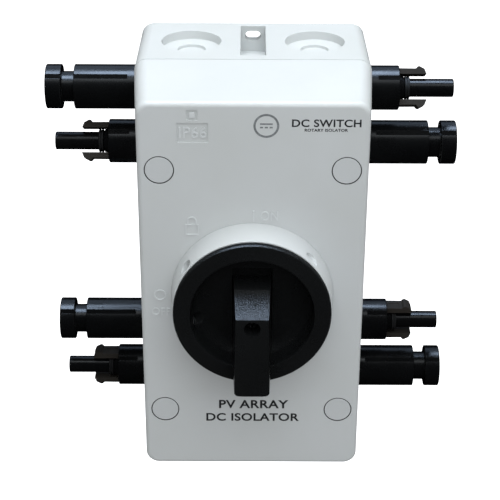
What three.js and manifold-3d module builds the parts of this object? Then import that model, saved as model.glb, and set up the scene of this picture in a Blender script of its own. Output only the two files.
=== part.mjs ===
// Four-pole rotary DC isolator: a two-part wall enclosure, a turning handle that drives a stack of
// contact decks, and eight cable connectors through the side walls.
//
// Millimetres. Shapes are drawn with X right, Y up and Z out of the wall towards the user; the
// outermost group then stands that up as X right, -Y out of the wall and Z up. The origin is the
// centre of the back face.

import * as THREE from 'three';
import { mergeVertices } from 'three/addons/utils/BufferGeometryUtils.js';
import Module from 'manifold-3d';

const wasm = await Module();
wasm.setup();

// ---------------------------------------------------------------- driving dimensions

const GAP = 0.3;              // clearance between two pieces that meet

// Enclosure
const DEPTH = 92.3;           // wall to lid face
const SEAM = 49.5;            // wall to the joint between base and lid
const FACE = { w: 100, h: 186.6 };
const SEAM_DRAFT = 3.2;       // how far each side wall stands out at the seam, past the lid face
const BACK_DRAFT = 2.65;      // the same at the wall
const CORNER = 6;             // corner radius seen from the front
const WALL = 3.2;
const BACK_WALL = 3;
const LID_WALL = 2.8;
const LAND = 1.3;             // outer part of the base's rim, outside the gasket
const LID_FILLET = 2.2;

// Lid screws and their caps
const SCREW_X = 40.5;
const SCREW_Y = 62;
const POST_R = 4.5;
const POST_TOP = 55.7;
const CAP_R = 6.25;
const CAP_THICK = 3;
const WELL_R = 4.6;
const TUBE_R = 7.8;

// Cable knockouts and fixing pockets in the end walls of the base
const KNOCKOUT = { x: 28.3, z: 25.8, r: 13.7, floor: 92.1, innerR: 6.5, innerFloor: 90.7, pad: 88.2 };
const POCKET = { w: 11.5, floor: 83.3, back: 5, front: 44.3, wall: 2 };
const FIXING_SLOT = { length: 7.4, width: 4.7, y: 91.1 };

// Handle and the collar round it, measured out from the lid face
const COLLAR = { r: 36.4, rFront: 35.2, rInner: 33, height: 14.7 };
const LOCK_HOLE = { r: 3.5, z: 10.4 };
const OPEN_HOLES_DEG = [145.5, 286]; // padlock holes through the collar, anticlockwise from +X
const BLANK_HOLE_DEG = 43;    // the third is a blind recess, and the handle has no hole for it
const SWING_DEG = 90;         // handle travel, ON to OFF
const SKIRT_R = 32.4;
const SKIRT_FOOT = 0.8;
const RING = { r: 35, back: 15.2, edge: 17.5, faceR: 34.5, face: 18.4, rimR: 27.4 };
const BAR = { top: 4.7, bottom: -35.4, face: 29.9, rampFootY: 11.6, rampFoot: 14.2 };
const BAR_HALF = 7.15;        // half width at the top of the front face
const BAR_SPREAD_DOWN = 0.018; // growth of that per mm towards the tail
const BAR_SPREAD_IN = 0.06;   // growth of that per mm into the bowl
const CHANNEL = { half: 9.05, top: 17.6, bottom: -22, floor: 2.4 };
const SCREW_HOLE_R = 3.6;

// Shaft and switch block, measured out from the wall
const SHAFT_SIDE = 8;
const SHAFT_TOP = DEPTH + 19.2;
const JOURNAL_R = 6;
const SPINDLE_SIDE = 7;
const BRACKET_Z = 10.3;
const BRACKET_THICK = 2;
const DECK = { half: 23, halfH: 25, pitch: 12, thick: 11.7, cavityR: 17.5, count: 4 };
const DECK_Z = BRACKET_Z + BRACKET_THICK + GAP;
const MECHANISM_Z = DECK_Z + DECK.count * DECK.pitch;
const MECHANISM_DEPTH = 22;
const TIE_X = 20.3;
const TERMINAL_X = 12;
const BRACKET_SCREW_Y = 36;

// Cable connectors
const ROW_Y = [76, 48.6];     // above and below the centre
const CABLE_Z = 31.8;
const PLATE_X = 53.3;         // outer face of the side wall at the connectors
const CONNECTOR_R = 10.25;
const HOLE_R = 8;
const WIRE_R = 2.9;
const PLUG_ARM_DEG = 30;      // upper plugs are turned so that their arms lean back
// Grip notch along each housing: its two edges, measured round from the user's side up, its depth
// at the lower edge, and where it starts
const NOTCH = { low: 42, high: 55, depth: 0.75, start: 4 };

const ROUND = 40;             // facets round the large circles
const MEDIUM = 14;
const SMALL = 8;

// ---------------------------------------------------------------- materials

function finish(color, roughness, metalness = 0) {
  return new THREE.MeshStandardMaterial({ color, roughness, metalness });
}

const MATERIALS = {
  housing: finish(0xd3d6d8, 0.42),
  cap: finish(0xcfd2d4, 0.45),
  handle: finish(0x17191b, 0.4),
  connector: finish(0x121315, 0.3),
  rubber: finish(0x1a1a1a, 0.8),
  deck: finish(0x2c2f33, 0.55),
  rotor: finish(0xb9b2a0, 0.5),
  steel: finish(0xb4b6b8, 0.35, 1),
  cable: finish(0x1b1b1d, 0.6),
};

// ---------------------------------------------------------------- solids

const toRad = THREE.MathUtils.degToRad;

// A closed three.js geometry as a manifold solid.
function solid(geometry) {
  geometry.deleteAttribute('normal');
  geometry.deleteAttribute('uv');
  const welded = mergeVertices(geometry, 1e-4);
  const index = welded.index.array;
  const triVerts = [];
  for (let i = 0; i < index.length; i += 3) {
    const [a, b, c] = [index[i], index[i + 1], index[i + 2]];
    if (a !== b && b !== c && c !== a) triVerts.push(a, b, c);
  }
  return new wasm.Manifold(new wasm.Mesh({
    numProp: 3,
    vertProperties: new Float32Array(welded.attributes.position.array),
    triVerts: new Uint32Array(triVerts),
  }));
}

// The manifold solid back as a three.js geometry.
function geometryOf(body) {
  const mesh = body.getMesh();
  const geometry = new THREE.BufferGeometry();
  geometry.setAttribute('position', new THREE.BufferAttribute(mesh.vertProperties, 3));
  geometry.setIndex(new THREE.BufferAttribute(mesh.triVerts, 1));
  geometry.computeVertexNormals();
  return geometry;
}

function block([x0, x1], [y0, y1], [z0, z1]) {
  const box = new THREE.BoxGeometry(x1 - x0, y1 - y0, z1 - z0);
  return solid(box.translate((x0 + x1) / 2, (y0 + y1) / 2, (z0 + z1) / 2));
}

// A solid of revolution about Z. The profile is a list of [radius, z] points.
function revolve(profile, segments) {
  const points = profile.map(([r, z]) => new THREE.Vector2(r, z));
  if (THREE.ShapeUtils.area(points) < 0) points.reverse();
  const closesOnAxis = profile[0][0] === 0;
  if (!closesOnAxis) points.push(points[0].clone());
  return solid(new THREE.LatheGeometry(points, segments).rotateX(Math.PI / 2));
}

function cylinder(r, z0, z1, segments = SMALL) {
  return revolve([[0, z0], [r, z0], [r, z1], [0, z1]], segments);
}

function ring(rIn, rOut, z0, z1, segments = SMALL) {
  return revolve([[rIn, z0], [rOut, z0], [rOut, z1], [rIn, z1]], segments);
}

function prism(shape, z0, z1, curveSegments = 3) {
  const options = { depth: z1 - z0, bevelEnabled: false, curveSegments };
  return solid(new THREE.ExtrudeGeometry(shape, options).translate(0, 0, z0));
}

// A slot with round ends, its length along X.
function stadium(length, width) {
  const r = width / 2;
  const reach = length / 2 - r;
  const shape = new THREE.Shape();
  shape.absarc(reach, 0, r, -Math.PI / 2, Math.PI / 2);
  shape.absarc(-reach, 0, r, Math.PI / 2, Math.PI * 1.5);
  return shape;
}

// Points round a rectangle with round corners, anticlockwise.
function roundedOutline(w, h, r) {
  const cornerSteps = 3;
  const centres = [[1, 1], [-1, 1], [-1, -1], [1, -1]];
  const points = [];
  centres.forEach(([sx, sy], corner) => {
    for (let i = 0; i <= cornerSteps; i += 1) {
      const angle = (corner + i / cornerSteps) * Math.PI / 2;
      points.push([sx * (w / 2 - r) + r * Math.cos(angle), sy * (h / 2 - r) + r * Math.sin(angle)]);
    }
  });
  return points;
}

// A solid through rounded rectangles at several heights: levels of { z, w, h, r }.
function loft(levels) {
  const rings = levels.map(({ z, w, h, r }) => roundedOutline(w, h, r).map(([x, y]) => [x, y, z]));
  const count = rings[0].length;
  const index = [];
  for (let k = 0; k + 1 < rings.length; k += 1) {
    for (let i = 0; i < count; i += 1) {
      const a = k * count + i;
      const b = k * count + (i + 1) % count;
      index.push(a, b, b + count, a, b + count, a + count);
    }
  }
  const top = (rings.length - 1) * count;
  for (let i = 1; i + 1 < count; i += 1) {
    index.push(0, i + 1, i);
    index.push(top, top + i, top + i + 1);
  }
  const geometry = new THREE.BufferGeometry();
  geometry.setAttribute('position', new THREE.Float32BufferAttribute(rings.flat(2), 3));
  geometry.setIndex(index);
  return solid(geometry);
}

function unionOf(bodies) {
  return bodies.reduce((sum, body) => sum.add(body));
}

// ---------------------------------------------------------------- scene

const enclosure = new THREE.Group();
enclosure.rotation.x = Math.PI / 2;

function piece(name, body, material, x = 0, y = 0, z = 0) {
  const mesh = new THREE.Mesh(geometryOf(body), material);
  mesh.name = name;
  mesh.position.set(x, y, z);
  enclosure.add(mesh);
  return mesh;
}

// Outline of the enclosure at a distance from the wall, shrunk by an inset all round.
function section(z, inset = 0, r = CORNER) {
  const draft = z <= SEAM
    ? THREE.MathUtils.mapLinear(z, 0, SEAM, BACK_DRAFT, SEAM_DRAFT)
    : THREE.MathUtils.mapLinear(z, SEAM, DEPTH, SEAM_DRAFT, 0);
  const grow = 2 * (draft - inset);
  return { z, w: FACE.w + grow, h: FACE.h + grow, r: Math.max(r - inset, 1) };
}

const CORNERS = [[1, 1], [-1, 1], [-1, -1], [1, -1]];
const SIDES = [1, -1];

// ---------------------------------------------------------------- enclosure

// A hole through a side wall, or the boss for one, along X.
function alongX(body, side) {
  return body.rotate([0, side * 90, 0]);
}

// The same in an end wall, along Y.
function alongY(body, side) {
  return body.rotate([side * -90, 0, 0]);
}

function baseShell() {
  const edge = 1.2;
  const rim = SEAM - GAP / 2;
  const outer = loft([section(0, edge), section(edge), section(rim)]);
  const cavity = loft([section(BACK_WALL, WALL), section(SEAM + 1, WALL)]);
  const gasketStep = loft([section(rim - 2.15, LAND), section(SEAM + 1, LAND)]);
  return outer.subtract(cavity).subtract(gasketStep);
}

function baseAdditions() {
  const post = cylinder(POST_R, 1, POST_TOP);
  const posts = CORNERS.map(([sx, sy]) => post.translate([sx * SCREW_X, sy * SCREW_Y, 0]));
  const boss = cylinder(4, 1, BRACKET_Z - GAP);
  const bosses = SIDES.map((side) => boss.translate([0, side * BRACKET_SCREW_Y, 0]));
  const pockets = SIDES.map((side) => {
    const half = POCKET.w / 2 + POCKET.wall;
    const ends = [side * (POCKET.floor - POCKET.wall), side * 94].sort((a, b) => a - b);
    return block([-half, half], ends, [1, POCKET.front + POCKET.wall]);
  });
  const pads = SIDES.flatMap((side) => SIDES.map((sx) => {
    const pad = alongY(cylinder(KNOCKOUT.r + 1.8, KNOCKOUT.pad, 94.4, MEDIUM), side);
    return pad.translate([sx * KNOCKOUT.x, 0, KNOCKOUT.z]);
  }));
  return unionOf([...posts, ...bosses, ...pockets, ...pads]);
}

function baseCuts() {
  const beyond = 100;
  const screwHole = cylinder(2.2, 20, POST_TOP + 1);
  const screwHoles = CORNERS.map(([sx, sy]) => screwHole.translate([sx * SCREW_X, sy * SCREW_Y, 0]));
  const bracketHole = cylinder(1.8, 2, BRACKET_Z);
  const bracketHoles = SIDES.map((side) => bracketHole.translate([0, side * BRACKET_SCREW_Y, 0]));
  const endCuts = SIDES.flatMap((side) => {
    const ends = [side * POCKET.floor, side * beyond].sort((a, b) => a - b);
    const pocket = block([-POCKET.w / 2, POCKET.w / 2], ends, [POCKET.back, POCKET.front]);
    const slot = prism(stadium(FIXING_SLOT.length, FIXING_SLOT.width), -1, POCKET.back + 1);
    const knockouts = SIDES.map((sx) => {
      const recess = cylinder(KNOCKOUT.r, KNOCKOUT.floor, beyond, 24)
        .add(cylinder(KNOCKOUT.innerR, KNOCKOUT.innerFloor, beyond, MEDIUM));
      return alongY(recess, side).translate([sx * KNOCKOUT.x, 0, KNOCKOUT.z]);
    });
    return [pocket, slot.translate([0, side * FIXING_SLOT.y, 0]), ...knockouts];
  });
  const cableHoles = SIDES.flatMap((side) => SIDES.flatMap((sy) => ROW_Y.map((y) => (
    alongX(cylinder(HOLE_R, 45, 60, MEDIUM), side).translate([0, sy * y, CABLE_Z])
  ))));
  return unionOf([...screwHoles, ...bracketHoles, ...endCuts, ...cableHoles]);
}

function makeBase() {
  return baseShell().add(baseAdditions()).subtract(baseCuts());
}

// Padlock holes: radial bores about the handle's axis, at the given angles.
function lockHoles(degrees, r0, r1) {
  const bore = cylinder(LOCK_HOLE.r, r0, r1, 12).rotate([0, 90, 0]);
  return unionOf(degrees.map((deg) => bore.rotate([0, 0, deg]).translate([0, 0, DEPTH + LOCK_HOLE.z])));
}

function makeCollar() {
  const { r, rFront, rInner, height } = COLLAR;
  return revolve([
    [rInner, DEPTH - 1], [r + 1, DEPTH - 1], [r + 1, DEPTH], [r + 0.3, DEPTH + 0.3], [r, DEPTH + 1],
    [rFront, DEPTH + height - 0.3], [rFront - 0.3, DEPTH + height], [rInner, DEPTH + height],
  ], ROUND).subtract(lockHoles(OPEN_HOLES_DEG, rInner - 4, r + 4))
    .subtract(lockHoles([BLANK_HOLE_DEG], r - 1.8, r + 4));
}

function lidShell() {
  const foot = SEAM + GAP / 2;
  const f = LID_FILLET;
  const outer = loft([
    section(foot), section(DEPTH - f), section(DEPTH - f * 0.5, f * 0.134),
    section(DEPTH - f * 0.134, f * 0.5), section(DEPTH, f),
  ]);
  const cavity = loft([section(foot - 1, WALL), section(DEPTH - LID_WALL, WALL)]);
  return outer.subtract(cavity);
}

// The lip that reaches into the base, inside the gasket.
function lidLip() {
  const outerInset = WALL + GAP;
  const innerInset = outerInset + 1.2;
  const top = SEAM + 3.5;
  const ledge = loft([section(SEAM + GAP / 2, LAND), section(top, LAND)]);
  const lip = loft([section(SEAM - 2.8, outerInset), section(SEAM + 1, outerInset)]);
  const inside = loft([section(SEAM - 5, innerInset), section(top + 1, innerInset)]);
  return ledge.add(lip).subtract(inside);
}

function makeLid() {
  const tube = cylinder(TUBE_R, POST_TOP + GAP, DEPTH - 1, MEDIUM);
  const well = cylinder(2.3, POST_TOP, 60)
    .add(cylinder(WELL_R, POST_TOP + 3.3, DEPTH - 1))
    .add(cylinder(CAP_R + GAP, DEPTH - CAP_THICK - GAP, DEPTH + 1, 16));
  const tubes = CORNERS.map(([sx, sy]) => tube.translate([sx * SCREW_X, sy * SCREW_Y, 0]));
  const wells = CORNERS.map(([sx, sy]) => well.translate([sx * SCREW_X, sy * SCREW_Y, 0]));
  const shaftBoss = cylinder(12, 85.5, DEPTH - 1, MEDIUM);
  const shaftHole = cylinder(JOURNAL_R + 0.6, 80, DEPTH + 1, MEDIUM).add(cylinder(9, 80, 88.5, MEDIUM));
  return unionOf([lidShell(), lidLip(), shaftBoss, makeCollar(), ...tubes])
    .subtract(unionOf([shaftHole, ...wells]));
}

function makeGasket() {
  const inset = LAND + 0.25;
  const [z0, z1] = [SEAM - 2, SEAM - GAP / 2];
  const outer = loft([section(z0, inset), section(z1, inset)]);
  const inner = loft([section(z0 - 1, inset + 1.4), section(z1 + 1, inset + 1.4)]);
  return outer.subtract(inner);
}

// A screw standing along Z with a cross recess: the head lies on z = 0 and the shank goes down.
function makeScrew(headR, headHeight, shankR, length) {
  const recess = headR * 0.55;
  const width = headR * 0.16;
  const depth = headHeight * 0.55;
  const cross = block([-recess, recess], [-width, width], [headHeight - depth, headHeight + 1])
    .add(block([-width, width], [-recess, recess], [headHeight - depth, headHeight + 1]));
  return revolve([
    [0, -length], [shankR * 0.5, -length], [shankR, -length + shankR], [shankR, 0], [headR, 0],
    [headR, headHeight * 0.6], [headR * 0.75, headHeight], [0, headHeight],
  ], SMALL).subtract(cross);
}

// A round plug, flush with the lid.
function makeCap() {
  return revolve([
    [0, 0], [CAP_R, 0], [CAP_R, CAP_THICK - 0.3], [CAP_R - 0.3, CAP_THICK], [0, CAP_THICK],
  ], 16);
}

// ---------------------------------------------------------------- handle

// Half width of the bar, which spreads towards its tail and down into the bowl.
function barHalf(y, z) {
  return BAR_HALF + BAR_SPREAD_DOWN * (BAR.top - y) + BAR_SPREAD_IN * (BAR.face - z);
}

// The bar's side view, hollowed at the ramp and rounded at its tail.
function barProfile() {
  const shape = new THREE.Shape();
  const foot = CHANNEL.floor - 0.4;
  const round = 1.2;
  shape.moveTo(BAR.rampFootY, foot);
  shape.lineTo(BAR.rampFootY, BAR.rampFoot);
  shape.quadraticCurveTo(BAR.top + 2.8, (BAR.rampFoot + BAR.face) / 2 - 0.8, BAR.top, BAR.face);
  shape.lineTo(BAR.bottom + round, BAR.face);
  shape.quadraticCurveTo(BAR.bottom, BAR.face, BAR.bottom, BAR.face - round);
  shape.lineTo(BAR.bottom, RING.back + 0.4);
  shape.lineTo(-26, RING.back + 0.4);
  shape.lineTo(-20, foot);
  return shape;
}

function makeBar() {
  const options = { depth: 2, bevelEnabled: false, curveSegments: 4 };
  const geometry = new THREE.ExtrudeGeometry(barProfile(), options).translate(0, 0, -1);
  const position = geometry.attributes.position;
  for (let i = 0; i < position.count; i += 1) {
    const y = position.getX(i);
    const z = position.getY(i);
    const side = Math.sign(position.getZ(i));
    position.setXYZ(i, side * barHalf(y, z), y, z);
  }
  const blank = new THREE.Shape();
  const half = barHalf(BAR.bottom, BAR.face);
  const corner = 2.6;
  const sag = Math.abs(BAR.bottom) - Math.sqrt(BAR.bottom ** 2 - (half - corner) ** 2);
  blank.moveTo(-12, BAR.rampFootY + 2);
  blank.lineTo(-12, BAR.bottom + 5.4);
  blank.lineTo(-half - 0.5, BAR.bottom + 5);
  blank.quadraticCurveTo(-half, BAR.bottom + sag, corner - half, BAR.bottom + sag);
  blank.quadraticCurveTo(0, BAR.bottom - sag, half - corner, BAR.bottom + sag);
  blank.quadraticCurveTo(half, BAR.bottom + sag, half + 0.5, BAR.bottom + 5);
  blank.lineTo(12, BAR.bottom + 5.4);
  blank.lineTo(12, BAR.rampFootY + 2);
  return solid(geometry).intersect(prism(blank, -5, BAR.face + 5)).translate([0, 0, DEPTH]);
}

function knobShell() {
  const profile = [
    [0, 3.4], [20.5, 3.6], [25.6, 5.2], [28, 8.8], [28.6, 15.6], [SKIRT_R - 2, 15.6],
    [SKIRT_R - 2, SKIRT_FOOT], [SKIRT_R, SKIRT_FOOT], [SKIRT_R, RING.back], [RING.r, RING.back],
    [RING.r, RING.edge], [RING.faceR, RING.face], [RING.rimR, RING.face], [27, 14], [26, 9.6],
    [22.5, 6.8], [0, 5.8],
  ];
  return revolve(profile, ROUND).translate([0, 0, DEPTH]);
}

function makeKnob() {
  const at = ([low, high]) => [DEPTH + low, DEPTH + high];
  const { half, top, bottom, floor } = CHANNEL;
  const hub = block([-half - 2, half + 2], [bottom - 2, top + 1.6], at([SKIRT_FOOT, 5]));
  const channel = block([-half, half], [bottom, top], at([floor, 40]));
  const socketHalf = SHAFT_SIDE / 2 + GAP;
  const socket = block([-socketHalf, socketHalf], [-socketHalf, socketHalf], at([-1, 19.5]));
  const screwHole = cylinder(2.2, DEPTH + 18, DEPTH + 24)
    .add(cylinder(SCREW_HOLE_R, DEPTH + 22.2, DEPTH + 40, MEDIUM));
  const rimSlot = block([-4.75, 4.75], [26, 27.1], at([15.5, 21]));
  const locks = lockHoles(OPEN_HOLES_DEG.map((deg) => deg - SWING_DEG), 18, 36);
  return knobShell().add(hub).subtract(channel).add(makeBar())
    .subtract(unionOf([socket, screwHole, rimSlot, locks]));
}

function makeShaft() {
  const half = SHAFT_SIDE / 2;
  const square = block([-half, half], [-half, half], [MECHANISM_Z + 15, SHAFT_TOP]);
  const journal = cylinder(JOURNAL_R, 80, DEPTH + 0.4, MEDIUM);
  const flange = cylinder(13, MECHANISM_Z + 15, MECHANISM_Z + 17.5, MEDIUM);
  return unionOf([square, journal, flange]).subtract(cylinder(2.2, SHAFT_TOP - 12, SHAFT_TOP + 1));
}

// A coil spring wound round the shaft's axis.
function makeSpring() {
  const turns = 3;
  const radius = 11;
  const [z0, z1] = [MECHANISM_Z + 7, MECHANISM_Z + 13.5];
  const points = [];
  const perTurn = 10;
  for (let i = 0; i <= turns * perTurn; i += 1) {
    const angle = 2 * Math.PI * i / perTurn;
    const z = THREE.MathUtils.mapLinear(i, 0, turns * perTurn, z0, z1);
    points.push(new THREE.Vector3(radius * Math.cos(angle), radius * Math.sin(angle), z));
  }
  return tube(points, 0.8, turns * perTurn, 4);
}

// A round bar along a smooth curve through the points.
function tube(points, radius, steps, sides) {
  const shape = new THREE.Shape();
  for (let i = 0; i < sides; i += 1) {
    const angle = 2 * Math.PI * i / sides;
    const [x, y] = [radius * Math.cos(angle), radius * Math.sin(angle)];
    if (i === 0) shape.moveTo(x, y);
    else shape.lineTo(x, y);
  }
  const extrudePath = new THREE.CatmullRomCurve3(points);
  return solid(new THREE.ExtrudeGeometry(shape, { steps, extrudePath, bevelEnabled: false }));
}

// ---------------------------------------------------------------- switch block

function tieHoles(z0, z1) {
  return unionOf(SIDES.map((side) => cylinder(1.9, z0, z1).translate([side * TIE_X, 0, 0])));
}

function makeBracket() {
  const [z0, z1] = [BRACKET_Z, BRACKET_Z + BRACKET_THICK];
  const hole = cylinder(2.2, z0 - 1, z1 + 1);
  const screwHoles = SIDES.map((side) => hole.translate([0, side * BRACKET_SCREW_Y, 0]));
  return block([-11, 11], [-42, 42], [z0, z1]).add(block([-23, 23], [-8, 8], [z0, z1]))
    .subtract(unionOf([...screwHoles, tieHoles(z0 - 1, z1 + 1)]));
}

// One deck, drawn with its back at z = 0: a round chamber, and a cable entry at each end.
function makeDeck(side) {
  const entry = unionOf(SIDES.map((sy) => (
    alongY(cylinder(WIRE_R + 0.6, 18.5, 30), sy).translate([side * TERMINAL_X, 0, DECK.thick / 2])
  )));
  return block([-DECK.half, DECK.half], [-DECK.halfH, DECK.halfH], [0, DECK.thick])
    .subtract(unionOf([
      cylinder(DECK.cavityR, 2, DECK.thick + 1, 16), cylinder(5.8, -1, 3), entry, tieHoles(-1, 13),
    ]));
}

// The moving contact of one pole: a hub on the square spindle with a bridge across it.
function makeRotor() {
  const half = SPINDLE_SIDE / 2 + GAP;
  return cylinder(8.5, 2.5, 10.8, MEDIUM).add(block([-3.5, 3.5], [-16.4, 16.4], [5, 8]))
    .subtract(block([-half, half], [-half, half], [0, 13]));
}

function makeSpindle() {
  const half = SPINDLE_SIDE / 2;
  return block([-half, half], [-half, half], [DECK_Z + 0.4, MECHANISM_Z + 12])
    .add(cylinder(14, MECHANISM_Z + 2.6, MECHANISM_Z + 5, MEDIUM));
}

function makeMechanismHousing() {
  const [z0, z1] = [MECHANISM_Z, MECHANISM_Z + MECHANISM_DEPTH];
  return block([-25, 25], [-25, 25], [z0, z1]).subtract(unionOf([
    cylinder(DECK.cavityR, z0 + 2, z1 - 2, 16), cylinder(5.8, z0 - 1, z0 + 3),
    cylinder(JOURNAL_R + 0.6, z1 - 3, z1 + 1), tieHoles(z0 - 1, z1 + 1),
  ]));
}

// ---------------------------------------------------------------- connectors

// Every connector is drawn along Z, with the wall at z = 0 and its mouth up.
function shank(bore) {
  return revolve([
    [bore, -13], [5, -13], [5, -9.5], [HOLE_R - GAP, -9.5], [HOLE_R - GAP, 0.5], [bore, 0.5],
  ], MEDIUM);
}

const WIRE_BORE = WIRE_R + 0.5;

// The sleeve connector: a long grip, a neck, and an end ring that takes the mating plug.
function makeSleeve() {
  const r = CONNECTOR_R;
  const [neck0, neck1, end] = [28.7, 34.6, 41.8];
  const [neckR, mouthR, seat] = [7.05, 6.4, 20];
  const outside = revolve([
    [WIRE_BORE, 0], [r - 0.8, 0], [r, 0.8], [r, neck0 - 0.4], [r - 0.4, neck0], [neckR, neck0],
    [neckR, neck1], [r - 0.4, neck1], [r, neck1 + 0.4], [r, end - 0.5], [r - 0.5, end], [mouthR, end],
    [mouthR, seat], [WIRE_BORE, seat],
  ], MEDIUM);
  return outside.add(shank(WIRE_BORE));
}

// The plug connector: a short body, a thin tube and two sprung latch arms.
function makePlug() {
  const r = CONNECTOR_R;
  const [face, tip] = [13.9, 39.2];
  const [tubeR, contactBore] = [4.2, 2.5];
  const outside = revolve([
    [WIRE_BORE, 0], [r - 0.8, 0], [r, 0.8], [r, face - 0.5], [r - 0.5, face], [5.8, face], [5.2, face + 2.3],
    [tubeR, face + 2.3], [tubeR, tip - 0.6], [tubeR - 0.5, tip], [contactBore, tip],
    [contactBore, face - 1], [WIRE_BORE, face - 1],
  ], MEDIUM);
  return unionOf([outside, shank(WIRE_BORE), ...SIDES.map(latchArm)]);
}

// A sawtooth cut along the front of a housing, and the same on its far side.
function gripNotches(side) {
  const at = (radius, degrees) => {
    const angle = toRad(degrees);
    return new THREE.Vector2(-side * radius * Math.cos(angle), radius * Math.sin(angle));
  };
  const { low, high, depth, start } = NOTCH;
  const beyond = CONNECTOR_R + 1.5;
  const outline = [
    at(CONNECTOR_R, high), at(CONNECTOR_R - depth, low), at(beyond, low), at(beyond, high),
  ];
  if (THREE.ShapeUtils.area(outline) < 0) outline.reverse();
  const notch = prism(new THREE.Shape(outline), start, 50);
  return notch.add(notch.rotate([0, 0, 180]));
}

function latchArm(side) {
  const [root, step, peak, tip] = [13, 21.6, 23.3, 26.6];
  const arm = new THREE.Shape();
  arm.moveTo(5.8, root);
  arm.lineTo(8.5, root);
  arm.lineTo(8.4, step);
  arm.lineTo(9.4, peak - 0.8);
  arm.lineTo(9.5, peak);
  arm.lineTo(8.3, tip - 1);
  arm.lineTo(5.8, tip);
  const options = { depth: 8, bevelEnabled: false };
  const geometry = new THREE.ExtrudeGeometry(arm, options).translate(0, 0, -4).rotateX(Math.PI / 2);
  return solid(geometry).rotate([0, 0, side * 90]);
}

function makeNut() {
  return cylinder(11.4, -8, -4, 6).subtract(cylinder(HOLE_R + 0.1, -9, -3, MEDIUM));
}

// Internal wire from a connector to its deck, with the contact crimped on its outer end.
function makeLead(side, end, rowY, deckZ, contactTip) {
  const [cx, cy] = [side * PLATE_X, end * rowY];
  const tx = side * TERMINAL_X;
  const route = [
    [cx + side * 12, cy, CABLE_Z],
    [cx - side * 4, cy, CABLE_Z],
    [cx - side * 14, cy, CABLE_Z],
    [cx - side * 20, cy, CABLE_Z],
    [side * (TERMINAL_X + 12), end * (rowY * 0.62 + 18), (CABLE_Z * 2 + deckZ) / 3],
    [tx + side * 1.5, end * (rowY * 0.25 + 29), (CABLE_Z + deckZ * 3) / 4],
    [tx, end * 30, deckZ],
    [tx, end * 19.3, deckZ],
  ];
  const wire = tube(route.map((p) => new THREE.Vector3(...p)), WIRE_R, 12, 6);
  const contact = alongX(cylinder(2.05, 11, contactTip, 8), side).translate([cx, cy, CABLE_Z]);
  return wire.add(contact);
}

const CONNECTORS = [];
for (const side of [-1, 1]) {
  [...ROW_Y, ...ROW_Y.map((y) => -y).reverse()].forEach((y, row) => {
    const isPlug = (row % 2 === 1) === (side < 0);
    const place = `${side < 0 ? 'left' : 'right'}_${row + 1}`;
    CONNECTORS.push({ side, y, isPlug, place });
  });
}

const DECK_OF = { left: [2, 0, 0, 2], right: [3, 1, 1, 3] };

function addConnector({ side, y, isPlug, place }) {
  const armDeg = y > 0 ? PLUG_ARM_DEG : 0;
  const round = isPlug ? makePlug().rotate([0, 0, -side * armDeg]) : makeSleeve();
  const housing = alongX(round.subtract(gripNotches(side)), side);
  const kind = isPlug ? 'plug' : 'sleeve';
  piece(`${kind}_connector_${place}`, housing, MATERIALS.connector, side * PLATE_X, y, CABLE_Z);
  piece(`lock_nut_${place}`, alongX(makeNut(), side), MATERIALS.connector, side * PLATE_X, y, CABLE_Z);
  const [half, row] = place.split('_');
  const deck = DECK_OF[half][row - 1];
  const deckZ = DECK_Z + deck * DECK.pitch + DECK.thick / 2;
  const contactTip = isPlug ? 37.6 : 31;
  piece(`lead_${place}`, makeLead(side, Math.sign(y), Math.abs(y), deckZ, contactTip), MATERIALS.cable);
  if (isPlug) {
    const seal = revolve([[4.45, 16.5], [5, 16.5], [5.5, 17.7], [5, 18.9], [4.45, 18.9]], MEDIUM);
    piece(`plug_seal_${place}`, alongX(seal, side), MATERIALS.rubber, side * PLATE_X, y, CABLE_Z);
  }
}

// ---------------------------------------------------------------- assembly

piece('base', makeBase(), MATERIALS.housing);
piece('lid', makeLid(), MATERIALS.housing);
piece('lid_gasket', makeGasket(), MATERIALS.rubber);
CORNERS.forEach(([sx, sy], i) => {
  const screw = makeScrew(3.8, 3, 1.9, 36);
  piece(`lid_screw_${i + 1}`, screw, MATERIALS.steel, sx * SCREW_X, sy * SCREW_Y, POST_TOP + 3.6);
  piece(`screw_cap_${i + 1}`, makeCap(), MATERIALS.cap, sx * SCREW_X, sy * SCREW_Y, DEPTH - CAP_THICK);
});

piece('knob', makeKnob(), MATERIALS.handle);
piece('knob_screw', makeScrew(2.9, 2.4, 1.9, 14), MATERIALS.steel, 0, 0, DEPTH + 22.5);
piece('drive_shaft', makeShaft(), MATERIALS.steel);
piece('shaft_seal', ring(JOURNAL_R + GAP, 9 - GAP, 85.9, 88.2, MEDIUM), MATERIALS.rubber);

piece('switch_bracket', makeBracket(), MATERIALS.steel);
SIDES.forEach((side, i) => {
  const screw = makeScrew(3.4, 2.2, 1.5, 9);
  piece(`bracket_screw_${i + 1}`, screw, MATERIALS.steel, 0, side * BRACKET_SCREW_Y, DECK_Z);
  const bolt = makeScrew(3, 2.2, 1.6, 76);
  piece(`tie_bolt_${i + 1}`, bolt, MATERIALS.steel, side * TIE_X, 0, MECHANISM_Z + MECHANISM_DEPTH + GAP);
});
for (let i = 0; i < DECK.count; i += 1) {
  const z = DECK_Z + i * DECK.pitch;
  piece(`contact_deck_${i + 1}`, makeDeck(i % 2 ? 1 : -1), MATERIALS.deck, 0, 0, z);
  piece(`contact_rotor_${i + 1}`, makeRotor(), MATERIALS.rotor, 0, 0, z);
}
piece('rotor_spindle', makeSpindle(), MATERIALS.rotor);
piece('mechanism_housing', makeMechanismHousing(), MATERIALS.deck);
piece('snap_spring', makeSpring(), MATERIALS.steel);

CONNECTORS.forEach(addConnector);

export default enclosure;
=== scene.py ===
import math

import bmesh
import bpy
from mathutils import Matrix, Vector


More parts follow.
